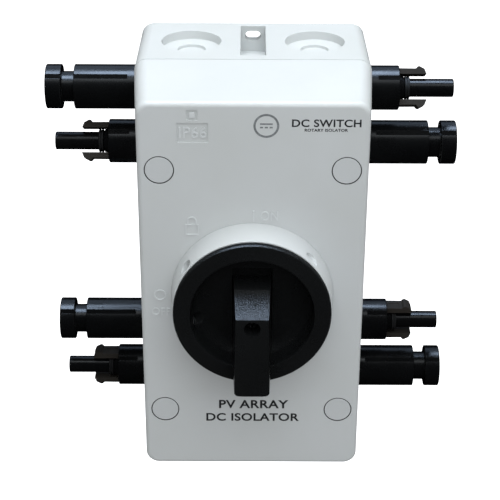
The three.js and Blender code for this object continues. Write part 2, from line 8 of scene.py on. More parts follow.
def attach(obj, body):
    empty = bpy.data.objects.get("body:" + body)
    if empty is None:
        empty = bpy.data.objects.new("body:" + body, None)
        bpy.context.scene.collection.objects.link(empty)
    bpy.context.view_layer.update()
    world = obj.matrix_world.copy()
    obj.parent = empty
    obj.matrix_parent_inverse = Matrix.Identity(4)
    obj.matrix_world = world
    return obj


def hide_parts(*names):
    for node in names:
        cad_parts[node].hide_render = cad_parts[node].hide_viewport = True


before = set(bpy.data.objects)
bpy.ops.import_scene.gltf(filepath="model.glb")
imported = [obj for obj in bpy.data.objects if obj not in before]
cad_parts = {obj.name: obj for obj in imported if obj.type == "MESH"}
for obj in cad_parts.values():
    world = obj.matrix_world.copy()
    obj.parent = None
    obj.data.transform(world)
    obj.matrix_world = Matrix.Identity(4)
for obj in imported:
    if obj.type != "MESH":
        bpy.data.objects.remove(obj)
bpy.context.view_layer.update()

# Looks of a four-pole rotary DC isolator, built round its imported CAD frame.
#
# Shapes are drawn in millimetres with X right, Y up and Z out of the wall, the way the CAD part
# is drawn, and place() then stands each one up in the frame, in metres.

# ---------------------------------------------------------------- driving dimensions, mm

# Enclosure: two halves that meet at the seam, its walls drafted to both ends
GAP = 0.3
DEPTH = 92.3
SEAM = 49.5
FACE_W, FACE_H = 100, 186.6
SEAM_DRAFT, BACK_DRAFT = 3.2, 2.65
CORNER = 6
WALL, BACK_WALL, LID_WALL = 3.2, 3, 2.8
LID_FILLET, BACK_EDGE, SEAM_EDGE = 2.2, 1.2, 0.2
SEAM_GROOVE = 0.6  # width of the open joint between base and lid

# Caps over the lid screws
SCREW_X, SCREW_Y = 40.5, 62
CAP_R, CAP_THICK = 6.25, 3
CAP_EDGE_R = CAP_R - 0.12

# Knockouts and fixing pocket in both end walls; floors are heights from the middle of the part
KNOCKOUT_X, KNOCKOUT_Z, KNOCKOUT_PAD = 28.3, 25.8, 88.2
KNOCKOUT_R, KNOCKOUT_FLOOR = 13.7, 92.1
KNOCKOUT_INNER_R, KNOCKOUT_INNER_FLOOR = 6.5, 90.7
POCKET_W, POCKET_FLOOR, POCKET_BACK, POCKET_FRONT = 11.5, 83.3, 5, 44.3
POCKET_WALL = 2
SLOT_LENGTH, SLOT_WIDTH, SLOT_Y = 7.4, 4.7, 91.1

# Marks moulded into the lid: centre or corners on its face, X and Y
SQUARE_MARK = (-26.0, 87.6)
FRAME_MARK = (-32.6, -19.2, 74.9, 84.0)
MARK_DEPTH = 0.6

# Collar and its padlock holes
COLLAR_R, COLLAR_FRONT_R, COLLAR_INNER_R, COLLAR_HEIGHT = 36.4, 35.2, 33, 14.7
LOCK_R, LOCK_Z = 3.5, 10.4
OPEN_HOLES_DEG, BLANK_HOLE_DEG, SWING_DEG = [145.5, 286], 43, 90

# Handle: heights are measured from the lid's face
SKIRT_R, SKIRT_FOOT = 32.4, 0.8
RING_R, RING_BACK, RING_EDGE = 35, 15.2, 17.5
RING_FACE_R, RING_FACE, RIM_R = 34.5, 18.4, 27.4
BAR_TOP, BAR_BOTTOM, BAR_FACE = 4.7, -35.4, 29.9
RAMP_FOOT_Y, RAMP_FOOT = 11.6, 14.2
BAR_HALF, BAR_SPREAD_DOWN, BAR_SPREAD_IN = 7.15, 0.018, 0.06
CHANNEL_HALF, CHANNEL_TOP, CHANNEL_BOTTOM, CHANNEL_FLOOR = 9.05, 17.6, -22, 2.4
SCREW_HOLE_R = 3.6
SHAFT_SIDE = 8

# Connectors: lengths are measured outwards from the side wall's mounting plane
PLATE_X, CABLE_Z = 53.3, 31.8
ROW_Y = [76, 48.6, -48.6, -76]
CONNECTOR_R, HOLE_R, WIRE_R, WIRE_BORE = 10.25, 8, 2.9, 3.4
PLUG_ARM_DEG = 30
PLUG_FACE = 13.9
NOTCH_LOW_DEG, NOTCH_HIGH_DEG = 42, 55
NOTCH_DEPTH, NOTCH_START = 0.75, 4
PIN_R, PIN_BACK = 2.05, 10.7

# Switch decks, where the internal wires end
DECK_Z, DECK_PITCH, DECK_THICK, TERMINAL_X = 12.6, 12, 11.7, 12
DECK_OF = {"left": [2, 0, 0, 2], "right": [3, 1, 1, 3]}

SIDES = [1, -1]
CORNERS = [(1, 1), (-1, 1), (-1, -1), (1, -1)]
BEYOND = 1  # how far a cutter reaches past the face that it opens

# Facets round a full circle: the handle and its collar, a connector, then ever smaller things
ROUND, FINE, MEDIUM, SMALL, TINY = 160, 96, 72, 64, 48

# Drawn X, Y, Z in millimetres become X, Z, -Y in metres
STAND_UP = Matrix(((0.001, 0, 0, 0), (0, 0, -0.001, 0), (0, 0.001, 0, 0), (0, 0, 0, 1)))


# ---------------------------------------------------------------- mesh tools


def mesh_object(name, points, faces):
    mesh = bpy.data.meshes.new(name)
    mesh.from_pydata([tuple(p) for p in points], [], faces)
    obj = bpy.data.objects.new(name, mesh)
    bpy.context.scene.collection.objects.link(obj)
    with_bmesh(obj, lambda bm: bmesh.ops.recalc_face_normals(bm, faces=bm.faces))
    return obj


def with_bmesh(obj, change):
    """Change an object's mesh by a function of its editable form."""
    bm = bmesh.new()
    bm.from_mesh(obj.data)
    change(bm)
    bm.to_mesh(obj.data)
    bm.free()


def settle(obj):
    """Apply every modifier, so that the mesh is what the modifiers made of it."""
    graph = bpy.context.evaluated_depsgraph_get()
    mesh = bpy.data.meshes.new_from_object(obj.evaluated_get(graph))
    old = obj.data
    obj.modifiers.clear()
    obj.data = mesh
    bpy.data.meshes.remove(old)


def boolean(obj, others, operation):
    """Combine an object with others, which are used up."""
    for other in others:
        modifier = obj.modifiers.new("boolean", "BOOLEAN")
        modifier.operation = operation
        modifier.solver = "EXACT"
        modifier.object = other
    settle(obj)
    for other in others:
        bpy.data.objects.remove(other)
    return obj


def cut(obj, *cutters):
    return boolean(obj, cutters, "DIFFERENCE")


def add(obj, *others):
    return boolean(obj, others, "UNION")


def turned(obj, axis, degrees):
    obj.data.transform(Matrix.Rotation(math.radians(degrees), 4, axis))
    return obj


def moved(obj, x=0.0, y=0.0, z=0.0):
    obj.data.transform(Matrix.Translation((x, y, z)))
    return obj


def fillet(points, steps=5):
    """Round the corners given as (a, b, radius) of a closed outline; (a, b) stays sharp."""
    rounded = []
    count = len(points)
    for i, point in enumerate(points):
        here = Vector(point[:2])
        if len(point) < 3:
            rounded.append(here)
            continue
        before = Vector(points[i - 1][:2]) - here
        after = Vector(points[(i + 1) % count][:2]) - here
        half = before.angle(after) / 2
        reach = min(point[2] / math.tan(half), before.length * 0.49, after.length * 0.49)
        radius = reach * math.tan(half)
        middle = (before.normalized() + after.normalized()).normalized()
        centre = here + middle * (radius / math.sin(half))
        start = here + before.normalized() * reach - centre
        end = here + after.normalized() * reach - centre
        sweep = start.angle_signed(end)
        for k in range(steps + 1):
            turn = Matrix.Rotation(-sweep * k / steps, 2)
            rounded.append(centre + turn @ start)
    return rounded


def lathe(name, profile, segments=MEDIUM, steps=5):
    """A solid of revolution about Z from an outline of (radius, z) or (radius, z, fillet)."""
    outline = fillet(profile, steps)
    points, rings, faces = [], [], []
    for radius, z in outline:
        if radius < 1e-6:
            rings.append([len(points)] * segments)
            points.append((0, 0, z))
            continue
        rings.append([len(points) + i for i in range(segments)])
        for i in range(segments):
            angle = 2 * math.pi * i / segments
            points.append((radius * math.cos(angle), radius * math.sin(angle), z))
    closed = zip(rings, rings[1:] + rings[:1])
    for near, far in closed:
        if near[0] == near[-1] and far[0] == far[-1]:
            continue
        for i in range(segments):
            j = (i + 1) % segments
            corners = dict.fromkeys([near[i], near[j], far[j], far[i]])
            faces.append(tuple(corners))
    return mesh_object(name, points, faces)


def cylinder(radius, z0, z1, segments=MEDIUM, edge=None):
    corner = (edge,) if edge else ()
    outline = [(0, z0), (radius, z0, *corner), (radius, z1, *corner), (0, z1)]
    return lathe("cylinder", outline, segments, 3)


def loft(name, levels):
    """A solid through outlines at several heights: levels of (z, list of (x, y))."""
    count = len(levels[0][1])
    points = [(x, y, z) for z, outline in levels for x, y in outline]
    faces = []
    for k in range(len(levels) - 1):
        for i in range(count):
            a, b = k * count + i, k * count + (i + 1) % count
            faces.append((a, b, b + count, a + count))
    faces.append(tuple(range(count)))
    faces.append(tuple(range(len(points) - count, len(points))))
    return mesh_object(name, points, faces)


def prism(outline, z0, z1):
    return loft("prism", [(z0, outline), (z1, outline)])


def rectangle(w, h, r=0.0, steps=8):
    """Outline of a centred rectangle, with round corners if there is a radius."""
    corner = (r,) if r else ()
    corners = [(w / 2, h / 2), (-w / 2, h / 2), (-w / 2, -h / 2), (w / 2, -h / 2)]
    return fillet([(x, y, *corner) for x, y in corners], steps)


def block(x, y, z):
    """A box from its three (low, high) pairs."""
    outline = [(x[0], y[0]), (x[1], y[0]), (x[1], y[1]), (x[0], y[1])]
    return prism(outline, z[0], z[1])


def stadium(length, width):
    return rectangle(length, width, width / 2 - 0.001, 10)


def clean(bm):
    """Merge points that all but coincide, and drop the faces that this leaves without area."""
    bmesh.ops.remove_doubles(bm, verts=bm.verts, dist=0.006)
    bmesh.ops.dissolve_degenerate(bm, edges=bm.edges, dist=0.003)


def bevel(obj, width, angle=35, segments=3):
    """Ease the sharp edges that the booleans leave."""
    modifier = obj.modifiers.new("bevel", "BEVEL")
    modifier.width = width
    modifier.segments = segments
    modifier.limit_method = "ANGLE"
    modifier.angle_limit = math.radians(angle)
    modifier.use_clamp_overlap = True
    modifier.miter_outer = "MITER_ARC"
    settle(obj)
    with_bmesh(obj, clean)
    return obj


def smooth(obj, angle=32):
    """Smooth shading that breaks at the sharp edges, led by the large faces."""
    limit = math.radians(angle)

    def mark(bm):
        for face in bm.faces:
            face.smooth = True
        for edge in bm.edges:
            edge.smooth = len(edge.link_faces) == 2 and edge.calc_face_angle(0) < limit

    with_bmesh(obj, mark)
    modifier = obj.modifiers.new("normals", "WEIGHTED_NORMAL")
    modifier.keep_sharp = True
    modifier.weight = 60
    return obj


def place(obj, name, body, node, slot, *materials):
    """Stand a drawn piece up in the frame, name it, give it its materials and its body, and hide the CAD
    node that it stands in for.
    """
    obj.name = name
    obj.data.name = name
    obj.data.transform(STAND_UP)
    for material in materials:
        obj.data.materials.append(material)
    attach(obj, body)
    if node:
        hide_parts(node)
    return obj


# ---------------------------------------------------------------- materials


class Nodes:
    """A short way to build one material's node tree."""

    def __init__(self, name):
        self.material = bpy.data.materials.new(name)
        self.material.use_nodes = True
        self.tree = self.material.node_tree
        self.shader = self.tree.nodes["Principled BSDF"]
        coordinates = self.tree.nodes.new("ShaderNodeTexCoord")
        self.place = coordinates.outputs["Object"]

    def link(self, source, target):
        self.tree.links.new(source, target)

    def noise(self, per_metre, detail=2.0, stretch=None):
        node = self.tree.nodes.new("ShaderNodeTexNoise")
        node.inputs["Scale"].default_value = per_metre
        node.inputs["Detail"].default_value = detail
        self.link(self.stretched(stretch), node.inputs["Vector"])
        return node.outputs["Fac"]

    def stretched(self, stretch):
        if stretch is None:
            return self.place
        mapping = self.tree.nodes.new("ShaderNodeMapping")
        mapping.inputs["Scale"].default_value = stretch
        self.link(self.place, mapping.inputs["Vector"])
        return mapping.outputs["Vector"]

    def ramp(self, source, stops):
        node = self.tree.nodes.new("ShaderNodeValToRGB")
        elements = node.color_ramp.elements
        while len(elements) < len(stops):
            elements.new(0.5)
        for element, (position, colour) in zip(elements, stops):
            element.position = position
            element.color = (*colour, 1)
        self.link(source, node.inputs["Fac"])
        return node.outputs["Color"]

    def between(self, source, low, high, span=(0.3, 0.7)):
        node = self.tree.nodes.new("ShaderNodeMapRange")
        node.inputs["From Min"].default_value = span[0]
        node.inputs["From Max"].default_value = span[1]
        node.inputs["To Min"].default_value = low
        node.inputs["To Max"].default_value = high
        self.link(source, node.inputs["Value"])
        return node.outputs["Result"]

    def bump(self, source, height_mm, before=None):
        node = self.tree.nodes.new("ShaderNodeBump")
        node.inputs["Strength"].default_value = 1.0
        node.inputs["Distance"].default_value = height_mm * 0.001
        self.link(source, node.inputs["Height"])
        if before is not None:
            self.link(before, node.inputs["Normal"])
        return node.outputs["Normal"]

    def set(self, **values):
        for name, value in values.items():
            self.shader.inputs[name.replace("_", " ")].default_value = value


def shade(colour, factor):
    return tuple(c * factor for c in colour)


def moulded(name, colour, roughness, grain_mm, height_mm, drift=0.05, warm=(1, 1, 1), shine=0.3):
    """Moulded plastic: a fine spark-eroded grain, slow drift in shade, and handling marks."""
    nodes = Nodes(name)
    tone = nodes.noise(28, 3)
    other = tuple(c * w for c, w in zip(shade(colour, 1 - drift), warm))
    colours = nodes.ramp(tone, [(0.3, other), (0.7, shade(colour, 1 + drift * 0.4))])
    nodes.link(colours, nodes.shader.inputs["Base Color"])
    wear = nodes.noise(90, 5)
    nodes.link(nodes.between(wear, roughness - 0.05, roughness + 0.06), nodes.shader.inputs["Roughness"])
    grain = nodes.noise(1000 / grain_mm, 2)
    flow = nodes.noise(60, 2)
    relief = nodes.bump(flow, 0.05)
    nodes.link(nodes.bump(grain, height_mm, relief), nodes.shader.inputs["Normal"])
    nodes.set(Specular_IOR_Level=shine)
    return nodes.material


def rubber(name):
    """Dull black rubber with a trace of dust."""
    nodes = Nodes(name)
    dark, dusty = (0.006, 0.006, 0.006), (0.013, 0.013, 0.014)
    colours = nodes.ramp(nodes.noise(160, 4), [(0.3, dark), (0.75, dusty)])
    nodes.link(colours, nodes.shader.inputs["Base Color"])
    nodes.link(nodes.between(nodes.noise(400, 3), 0.55, 0.75), nodes.shader.inputs["Roughness"])
    nodes.link(nodes.bump(nodes.noise(2500, 2), 0.01), nodes.shader.inputs["Normal"])
    return nodes.material


def metal(name, colour, roughness, stretch=(1, 1, 1)):
    """Turned or plated metal: drawn-out tool marks and slight tarnish."""
    nodes = Nodes(name)
    tarnish = nodes.noise(220, 4)
    colours = nodes.ramp(tarnish, [(0.3, shade(colour, 0.72)), (0.65, colour)])
    nodes.link(colours, nodes.shader.inputs["Base Color"])
    marks = nodes.noise(1800, 2, stretch)
    nodes.link(nodes.between(marks, roughness - 0.08, roughness + 0.12), nodes.shader.inputs["Roughness"])
    nodes.link(nodes.bump(marks, 0.004), nodes.shader.inputs["Normal"])
    nodes.set(Metallic=1.0)
    return nodes.material


def ink(name, colour):
    """Pad-printed ink: slightly uneven cover."""
    nodes = Nodes(name)
    cover = nodes.noise(1500, 3)
    colours = nodes.ramp(cover, [(0.25, shade(colour, 1.5)), (0.6, colour)])
    nodes.link(colours, nodes.shader.inputs["Base Color"])
    nodes.link(nodes.between(cover, 0.42, 0.55), nodes.shader.inputs["Roughness"])
    nodes.link(nodes.bump(cover, 0.004), nodes.shader.inputs["Normal"])
    return nodes.material


LIGHT_GREY = (0.66, 0.675, 0.675)
MATERIALS = {
    "housing": moulded("housing_plastic", LIGHT_GREY, 0.42, 0.55, 0.010, 0.03, (1.0, 1.0, 0.985)),
    "cap": moulded("cap_plastic", shade(LIGHT_GREY, 0.97), 0.44, 0.55, 0.008, 0.03),
    # dark grey put on the walls of the gaps round the screw caps: painted shade
    "joint": moulded("joint_shadow", (0.12, 0.12, 0.12), 0.6, 0.55, 0.008, 0.1),
    # the raised marks: a smoother finish, and a colour lighter than the housing's, which is a painted
    # highlight for the light the marks catch
    "mark": moulded("mark_painted_highlight_plastic", shade(LIGHT_GREY, 1.1), 0.34, 0.55, 0.003, 0.03),
    "handle": moulded("handle_plastic", (0.009, 0.0096, 0.01), 0.3, 0.6, 0.27, 0.2, shine=0.42),
    # the ring's side wall: matt, and darker than the handle plastic as painted shade
    "handle_side": moulded("handle_side_matt_painted_shade", (0.004, 0.0045, 0.0055), 0.5, 0.7, 0.02, 0.2, shine=0.1),
    "connector": moulded("connector_plastic", (0.004, 0.0042, 0.0046), 0.27, 0.7, 0.006, 0.25),
    "latch": moulded("latch_plastic", (0.031, 0.026, 0.021), 0.66, 0.45, 0.05, 0.3),
    "deck": moulded("deck_plastic", (0.028, 0.031, 0.036), 0.5, 0.6, 0.012, 0.15),
    "rotor": moulded("rotor_plastic", (0.46, 0.42, 0.33), 0.45, 0.6, 0.01, 0.1),
    "cable": moulded("cable_sheath", (0.011, 0.011, 0.012), 0.5, 0.9, 0.008, 0.2),
    "rubber": rubber("seal_rubber"),
    "steel": metal("zinc_plated_steel", (0.55, 0.56, 0.57), 0.3),
    "black_steel": metal("blackened_steel", (0.5, 0.5, 0.5), 0.24),
    "tin": metal("tinned_copper", (0.72, 0.7, 0.66), 0.25, (1, 6, 6)),
    "black_ink": ink("black_ink", (0.018, 0.019, 0.02)),
    "grey_ink": ink("grey_ink", (0.2, 0.21, 0.215)),
}

# ---------------------------------------------------------------- enclosure


def section(z, inset=0.0):
    """Outline of the enclosure at a distance from the wall, shrunk by an inset all round."""
    if z <= SEAM:
        draft = BACK_DRAFT + (SEAM_DRAFT - BACK_DRAFT) * z / SEAM
    else:
        draft = SEAM_DRAFT * (DEPTH - z) / (DEPTH - SEAM)
    grow = 2 * (draft - inset)
    return z, rectangle(FACE_W + grow, FACE_H + grow, max(CORNER - inset, 1), 10)


def eased(z, depth, steps=5):
    """Sections that round an edge off: from z, going in by depth, over a quarter circle."""
    levels = []
    for k in range(steps + 1):
        angle = math.pi / 2 * k / steps
        levels.append(section(z - depth * (1 - math.sin(angle)), depth * (1 - math.cos(angle))))
    return levels


def eased_back(z, depth, steps=5):
    """The same at the end that faces the wall."""
    levels = []
    for k in range(steps + 1):
        angle = math.pi / 2 * k / steps
        levels.append(section(z + depth * (1 - math.cos(angle)), depth * (1 - math.sin(angle))))
    return levels


def at_corners(make):
    return [moved(make(), sx * SCREW_X, sy * SCREW_Y) for sx, sy in CORNERS]


def sideways(obj, side):
    return turned(obj, "Y", side * 90)


def endways(obj, side):
    return turned(obj, "X", side * -90)


def ordered(a, b):
    return (a, b) if a < b else (b, a)


def base_end_cutters(side):
    """The recesses in one end wall: two knockouts, and the fixing pocket with its slot."""
    far = 100
    cutters = []
    for sx in SIDES:
        outline = [
            (0, KNOCKOUT_INNER_FLOOR), (KNOCKOUT_INNER_R, KNOCKOUT_INNER_FLOOR, 0.2),
            (KNOCKOUT_INNER_R, KNOCKOUT_FLOOR), (KNOCKOUT_R, KNOCKOUT_FLOOR, 0.3),
            (KNOCKOUT_R, far), (0, far),
        ]
        recess = endways(lathe("recess", outline, FINE), side)
        cutters.append(moved(recess, sx * KNOCKOUT_X, 0, KNOCKOUT_Z))
    half = POCKET_W / 2
    ends = ordered(side * POCKET_FLOOR, side * far)
    cutters.append(block((-half, half), ends, (POCKET_BACK, POCKET_FRONT)))
    slot = prism(stadium(SLOT_LENGTH, SLOT_WIDTH), -BEYOND, POCKET_BACK + BEYOND)
    cutters.append(moved(slot, 0, side * SLOT_Y))
    return cutters


def make_base():
    """The rear half: a shell with pads behind the knockouts and a walled pocket at each end."""
    shell = loft("shell", [*eased_back(0, BACK_EDGE), *eased(SEAM - SEAM_GROOVE / 2, SEAM_EDGE)])
    cut(shell, loft("cavity", [section(BACK_WALL, WALL), section(SEAM + BEYOND, WALL)]))
    pocket_end, pad_end = 94, 94.4  # both inside the thickness of the end wall
    for side in SIDES:
        half = POCKET_W / 2 + POCKET_WALL
        ends = ordered(side * (POCKET_FLOOR - POCKET_WALL), side * pocket_end)
        add(shell, block((-half, half), ends, (1, POCKET_FRONT + POCKET_WALL)))
        for sx in SIDES:
            pad = endways(cylinder(KNOCKOUT_R + 1.8, KNOCKOUT_PAD, pad_end), side)
            add(shell, moved(pad, sx * KNOCKOUT_X, 0, KNOCKOUT_Z))
    for side in SIDES:
        cut(shell, *base_end_cutters(side))
        for y in ROW_Y:
            cut(shell, moved(sideways(cylinder(HOLE_R, 45, 60), side), 0, y, CABLE_Z))
    with_bmesh(shell, clean)
    bevel(shell, 0.18, 50, 2)
    smooth(shell)
    return place(shell, "base_moulding", "enclosure", "base", "housing", MATERIALS["housing"])


def lock_bore(degrees, r0, r1):
    """A padlock hole's cutter, from one radius to another about the handle's axis."""
    bore = turned(cylinder(LOCK_R, r0, r1, TINY), "Y", 90)
    return moved(turned(bore, "Z", degrees), 0, 0, DEPTH + LOCK_Z)


def make_collar():
    """The ring round the handle: open padlock holes, and one that is only begun."""
    front = DEPTH + COLLAR_HEIGHT
    outline = [
        (COLLAR_INNER_R, DEPTH - 1), (COLLAR_R, DEPTH - 1), (COLLAR_R, DEPTH),
        (COLLAR_FRONT_R, front, 0.2), (COLLAR_INNER_R, front, 0.35),
    ]
    collar = lathe("collar", outline, ROUND)
    outside, blank_depth = COLLAR_R + 4, 1.8
    cut(collar, *[lock_bore(deg, COLLAR_INNER_R - 4, outside) for deg in OPEN_HOLES_DEG])
    return cut(collar, lock_bore(BLANK_HOLE_DEG, COLLAR_R - blank_depth, outside))


def collar_groove():
    """The fine groove round the foot of the collar."""
    inner, outer = COLLAR_R, COLLAR_R + 0.25
    low, high = DEPTH - 0.12, DEPTH + BEYOND
    return lathe("groove", [(inner, low), (outer, low), (outer, high), (inner, high)], ROUND)


def lid_recesses():
    """Shallow recesses for the framed mark and the square one."""
    x0, x1, y0, y1 = FRAME_MARK
    frame_recess = rectangle(x1 - x0, y1 - y0)
    square_recess = rectangle(4.7, 4.7)
    depth = (DEPTH - MARK_DEPTH, DEPTH + BEYOND)
    return [
        moved(prism(frame_recess, *depth), (x0 + x1) / 2, (y0 + y1) / 2),
        moved(prism(square_recess, *depth), *SQUARE_MARK),
    ]


def make_lid():
    """The front half with its collar, the shaft's hole, and seats for the screw caps."""
    foot = SEAM + SEAM_GROOVE / 2
    shell = loft("shell", [*eased_back(foot, SEAM_EDGE), *eased(DEPTH, LID_FILLET, 8)])
    add(shell, make_collar())
    cut(shell, loft("cavity", [section(foot - BEYOND, WALL), section(DEPTH - LID_WALL, WALL)]))
    shaft_hole_r, seat = 6.6, DEPTH - CAP_THICK + 0.5
    cut(shell, cylinder(shaft_hole_r, 80, DEPTH + BEYOND))
    cut(shell, *at_corners(lambda: cylinder(CAP_R + GAP, seat, DEPTH + BEYOND, SMALL)))
    cut(shell, collar_groove(), *lid_recesses())
    with_bmesh(shell, clean)
    bevel(shell, 0.15, 50, 2)
    # the walls of the gaps round the cap seats get painted shade
    paint_cap_gap_shade(shell)
    smooth(shell)
    return place(shell, "lid_moulding", "enclosure", "lid", "housing", MATERIALS["housing"],
                 MATERIALS["joint"])


def paint_cap_gap_shade(obj):
    """Give the walls of the narrow gaps round the screw caps the second material, a dark grey that is
    painted shade.
    """
    reach = CAP_R + GAP + 0.05
    for polygon in obj.data.polygons:
        x, y, z = polygon.center
        distance = math.hypot(abs(x) - SCREW_X, abs(y) - SCREW_Y)
        polygon.material_index = int(distance < reach and z < DEPTH - 0.1)


def make_caps():
    foot = 0.8
    outline = [(0, foot), (CAP_EDGE_R, foot), (CAP_EDGE_R, CAP_THICK, 0.2), (0, CAP_THICK)]
    for i, (sx, sy) in enumerate(CORNERS):
        cap = lathe("cap", outline, SMALL)
        moved(cap, sx * SCREW_X, sy * SCREW_Y, DEPTH - CAP_THICK)
        # the cap's rim wall inside its gap gets painted shade
        paint_cap_gap_shade(cap)
        smooth(cap)
        place(cap, f"cap_disc_{i + 1}", "enclosure", f"screw_cap_{i + 1}", "screw_cap", MATERIALS["cap"],
              MATERIALS["joint"])


# ---------------------------------------------------------------- marks on the lid


def lettering(body, height, x, y, z, thick, spread=1.0, weight=0.0):
    """Plain capital letters as a solid, centred on x, standing on y, with their back at z."""
    curve = bpy.data.curves.new("lettering", "FONT")
    curve.body = body
    curve.align_x = "CENTER"
    curve.size = 1.0
    curve.offset = weight
    curve.resolution_u = 6
    curve.space_character = 1.05
    obj = bpy.data.objects.new("lettering", curve)
    bpy.context.scene.collection.objects.link(obj)
    graph = bpy.context.evaluated_depsgraph_get()
    flat = bpy.data.meshes.new_from_object(obj.evaluated_get(graph))
    bpy.data.objects.remove(obj)
    tall = max(v.co.y for v in flat.vertices) - weight
    scale = height / tall
    solid = bpy.data.objects.new("lettering", flat)
    bpy.context.scene.collection.objects.link(solid)
    flat.transform(Matrix.Diagonal((scale * spread, scale, 1, 1)))
    with_bmesh(solid, lambda bm: thicken(bm, thick))
    return moved(solid, x, y, z)


def thicken(bm, thick):
    """Give flat faces a thickness."""
    bmesh.ops.remove_doubles(bm, verts=bm.verts, dist=1e-4)
    made = bmesh.ops.extrude_face_region(bm, geom=bm.faces[:])
    lifted = [v for v in made["geom"] if isinstance(v, bmesh.types.BMVert)]
    bmesh.ops.translate(bm, verts=lifted, vec=(0, 0, thick))
    bmesh.ops.recalc_face_normals(bm, faces=bm.faces)


def join(objects):
    """One object out of several that don't touch."""
    first = objects[0]
    bm = bmesh.new()
    for obj in objects:
        bm.from_mesh(obj.data)
    bm.to_mesh(first.data)
    bm.free()
    for obj in objects[1:]:
        bpy.data.objects.remove(obj)
    return first


def ring(x, y, radius, width, z, thick):
    inner = radius - width
    outline = [(inner, 0), (radius, 0), (radius, thick), (inner, thick)]
    return moved(lathe("ring", outline, SMALL), x, y, z)


def bar(x0, x1, y0, y1, z, thick):
    return block((x0, x1), (y0, y1), (z, z + thick))


def padlock_mark(x, y, z, thick):
    """A padlock in outline: a framed body under an arch."""
    line, w, h, arch = 0.55, 6.0, 5.4, 2.1
    top, spring = h / 2, h / 2 + 1.5
    through = (-BEYOND, thick + BEYOND)
    body = prism(rectangle(w, h), 0, thick)
    cut(body, prism(rectangle(w - 2 * line, h - 2 * line), *through))
    shackle = ring(0, spring, arch, line, 0, thick)
    cut(shackle, block((-4, 4), (-4, spring), through))
    legs = [block(ordered(s * arch, s * (arch - line)), (top, spring), (0, thick)) for s in SIDES]
    return moved(add(body, *legs, shackle), x, y, z)


def make_raised_marks():
    """Moulded marks: positions and their signs, a padlock, a square, and the protection rating."""
    thick, sunk = 0.42, 0.03
    z = DEPTH - sunk
    deep = DEPTH - MARK_DEPTH - sunk
    x0, x1, y0, y1 = FRAME_MARK
    square_x, square_y = SQUARE_MARK
    half = 1.1
    marks = [
        bar(0.1, 0.75, 37.4, 42.6, z, thick),
        lettering("ON", 4.4, 7.4, 37.9, z, thick, 0.8),
        ring(-41.5, -0.1, 2.75, 0.6, z, thick),
        lettering("OFF", 3.9, -41.2, -10.7, z, thick, 0.85),
        padlock_mark(-26.6, 33.2, z, thick),
        block((square_x - half, square_x + half), (square_y - half, square_y + half), (deep, DEPTH + 0.1)),
        lettering("IP66", 5.0, (x0 + x1) / 2, y0 + 2.1, deep, thick, 0.95),
    ]
    obj = join(marks)
    smooth(obj)
    # the marks are lighter than the lid around them: a painted highlight
    return place(obj, "raised_marks", "enclosure", None, None, MATERIALS["mark"])


def make_printed_marks():
    """A generic direct-current symbol and plain words for what the switch does."""
    z, thick = DEPTH - 0.02, 0.06
    cx, cy, half, dash = 5.6, 82.9, 2.7, 1.3
    symbol = [
        ring(cx, cy, 5.5, 0.95, z, thick),
        bar(cx - half, cx + half, cy + 0.5, cy + 1.2, z, thick),
    ]
    for x in (cx - half, cx - dash / 2, cx + half - dash):
        symbol.append(bar(x, x + dash, cy - 1.1, cy - 0.4, z, thick))
    grey = join(symbol)
    place(grey, "printed_symbol", "enclosure", None, None, MATERIALS["grey_ink"])
    words = [
        lettering("DC SWITCH", 3.3, 31.2, 82.6, z, thick, 1.1, 0.02),
        lettering("ROTARY ISOLATOR", 1.25, 31.0, 80.4, z, thick, 1.1, 0.026),
        lettering("PV ARRAY", 4.3, 0.7, -61.3, z, thick, 1.1, 0.022),
        lettering("DC ISOLATOR", 4.1, 0.25, -68.5, z, thick, 1.1, 0.022),
    ]
    black = join(words)
    place(black, "printed_words", "enclosure", None, None, MATERIALS["black_ink"])


# ---------------------------------------------------------------- handle


def bar_half(y, z):
    """Half the bar's width, which grows towards its lower end and towards its foot."""
    return BAR_HALF + BAR_SPREAD_DOWN * (BAR_TOP - y) + BAR_SPREAD_IN * (BAR_FACE - z)


def ramp_curve(steps=14):
    """The hollow ramp, from its foot up to the front face."""
    start = Vector((RAMP_FOOT_Y, RAMP_FOOT))
    middle = Vector((BAR_TOP + 2.8, (RAMP_FOOT + BAR_FACE) / 2 - 0.8))
    end = Vector((BAR_TOP, BAR_FACE))
    for k in range(steps):
        t = k / steps
        yield start * (1 - t) ** 2 + middle * 2 * t * (1 - t) + end * t**2


def make_bar():
    """The grip bar: ramp and flat front from its side outline, round tail from its front outline."""
    foot = CHANNEL_FLOOR - 0.4
    outline = fillet([
        (RAMP_FOOT_Y, foot), *[tuple(p) for p in ramp_curve()], (BAR_TOP, BAR_FACE, 0.25),
        (BAR_BOTTOM, BAR_FACE, 1.2), (BAR_BOTTOM, RING_BACK + 0.4), (-26, RING_BACK + 0.4), (-20, foot),
    ], 6)
    count = len(outline)
    points = [(side * bar_half(y, z), y, z) for side in SIDES for y, z in outline]
    faces = [tuple(range(count)), tuple(range(count, 2 * count))]
    faces += [(i, (i + 1) % count, (i + 1) % count + count, i + count) for i in range(count)]
    solid = mesh_object("bar", points, faces)
    half, corner = bar_half(BAR_BOTTOM, BAR_FACE) - 0.1, 2.6

    def on_arc(x):
        return x, -math.sqrt(BAR_BOTTOM**2 - x**2)

    tail = [on_arc(x) for x in (-3, -2, -1, 0, 1, 2, 3)]
    blank = fillet([
        (-14, RAMP_FOOT_Y + 2), (-14, BAR_BOTTOM + 5.6), (-half - 0.5, BAR_BOTTOM + 5.4),
        (*on_arc(-half), corner), *tail, (*on_arc(half), corner),
        (half + 0.5, BAR_BOTTOM + 5.4), (14, BAR_BOTTOM + 5.6), (14, RAMP_FOOT_Y + 2),
    ], 8)
    return moved(boolean(solid, [prism(blank, -5, BAR_FACE + 5)], "INTERSECT"), 0, 0, DEPTH)


